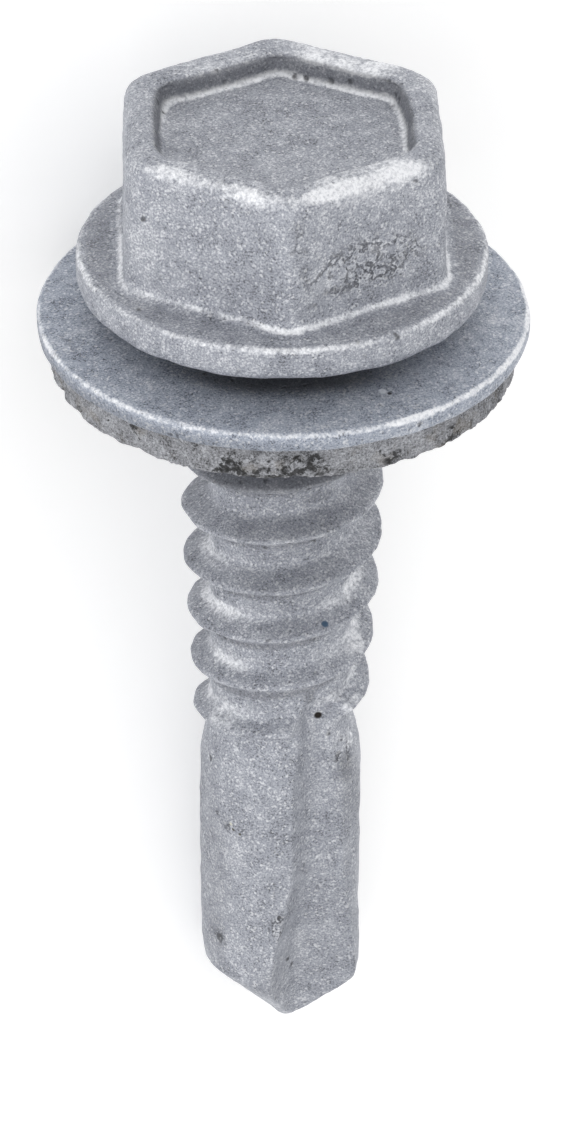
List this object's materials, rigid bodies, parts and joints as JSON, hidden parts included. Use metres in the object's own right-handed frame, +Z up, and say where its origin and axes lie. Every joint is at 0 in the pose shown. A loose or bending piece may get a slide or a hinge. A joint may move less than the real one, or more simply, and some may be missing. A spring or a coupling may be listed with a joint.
{
  "type": "self drilling screw",
  "caption": "Hex head self drilling screw with a flange, a captive rubber-faced sealing washer, a coarse right-hand thread and a fluted drill point, lying on its side.",
  "frame": {"origin": "middle of the underside of the bounding box, on the surface that the screw lies on", "axes": "+Z up; +Y from the drill point towards the head, level; the screw's own axis rises from the drill point to the head in the YZ plane, because the washer holds the head up"},
  "size_m": [0.0126, 0.0288, 0.0125],
  "materials": {
    "zinc_screw": "matte grainy zinc coating, bright on worn edges, with dark pits",
    "zinc_washer": "matte grainy zinc coating, bright at the rim",
    "seal_rubber": "rough grey zinc-dusted rubber with black pits"
  },
  "bodies": {
    "screw": {"screw": "zinc_screw"},
    "washer": {"metal_washer": "zinc_washer", "rubber_seal": "seal_rubber"}
  },
  "joints": [
    {"name": "washer_spin", "type": "hinge", "parent": "screw", "child": "washer", "pos_m": [0, 0.00819, 0.00631], "axis": [0, 0.975, 0.222], "continuous": true}
  ]
}
